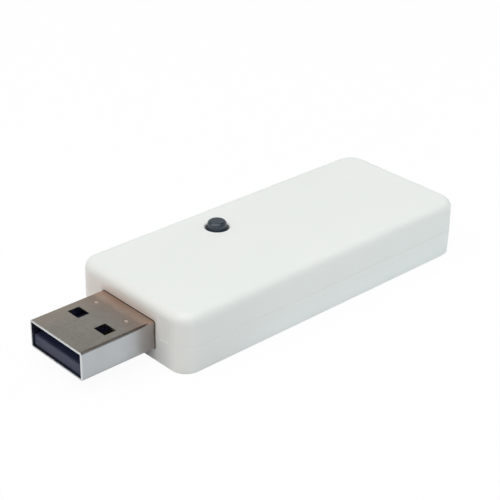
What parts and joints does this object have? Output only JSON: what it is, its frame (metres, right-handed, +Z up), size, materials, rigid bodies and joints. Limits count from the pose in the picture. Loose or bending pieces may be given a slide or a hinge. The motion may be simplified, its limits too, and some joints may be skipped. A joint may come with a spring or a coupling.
{
  "type": "usb wifi stick",
  "caption": "White moulded stick with a standard plug at one end, a small round push button in its top, and a circuit board with a radio chip and an antenna sealed inside.",
  "frame": {"origin": "middle of the overall footprint, plug included, on the plane of the case's flat bottom that the stick lies on", "axes": "+X along the stick from the plug's tip to the far end, +Y across it towards the side that the button is nearer to, +Z up out of the top cover"},
  "size_m": [0.0709, 0.0244, 0.0104],
  "materials": {
    "case_plastic": "white, fine satin moulding texture",
    "plug_steel": "nickel-plated sheet, lightly brushed",
    "plug_insulator_plastic": "black, smooth",
    "contact_plating": "gold-plated strip",
    "board_laminate": "green solder mask over glass fibre",
    "button_plastic": "dark slate, glossy",
    "switch_plastic": "black",
    "switch_steel": "tinned spring steel",
    "terminal_plating": "silver-plated strip",
    "shield_steel": "tin-plated sheet",
    "chip_plastic": "black moulding compound, tinned leads",
    "capacitor_ceramic": "tan body with tinned ends",
    "resistor_ceramic": "black film on white ceramic, tinned ends",
    "coil_ceramic": "dark grey ferrite",
    "antenna_ceramic": "white with tinned ends"
  },
  "bodies": {
    "stick": {"top_cover": "case_plastic", "bottom_cover": "case_plastic", "plug_shell": "plug_steel", "plug_insulator": "plug_insulator_plastic", "power_contact": "contact_plating", "data_minus_contact": "contact_plating", "data_plus_contact": "contact_plating", "ground_contact": "contact_plating", "circuit_board": "board_laminate", "switch_housing": "switch_plastic", "switch_plate": "switch_steel", "switch_dome": "switch_steel", "common_terminal": "terminal_plating", "fixed_terminal": "terminal_plating", "input_capacitor": "capacitor_ceramic", "output_capacitor": "capacitor_ceramic", "ferrite_bead": "coil_ceramic", "pull_up_resistor": "resistor_ceramic", "data_resistor_minus": "resistor_ceramic", "data_resistor_plus": "resistor_ceramic", "bypass_capacitor_core": "capacitor_ceramic", "bypass_capacitor_radio": "capacitor_ceramic", "crystal_capacitor_near": "capacitor_ceramic", "crystal_capacitor_far": "capacitor_ceramic", "matching_coil": "coil_ceramic", "matching_capacitor_near": "capacitor_ceramic", "matching_capacitor_far": "capacitor_ceramic", "surge_protector": "chip_plastic", "memory_chip": "chip_plastic", "voltage_regulator": "chip_plastic", "radio_chip": "chip_plastic", "crystal": "shield_steel", "supply_coil": "coil_ceramic", "chip_antenna": "antenna_ceramic", "shield_can": "shield_steel"},
    "button": {"switch_button": "button_plastic"}
  },
  "joints": [
    {"name": "button_press", "type": "slide", "parent": "stick", "child": "button", "axis": [0, 0, -1], "range_m": [0, 0.00025], "stiffness_N_per_m": 7000, "deforming": ["switch_dome"]}
  ]
}
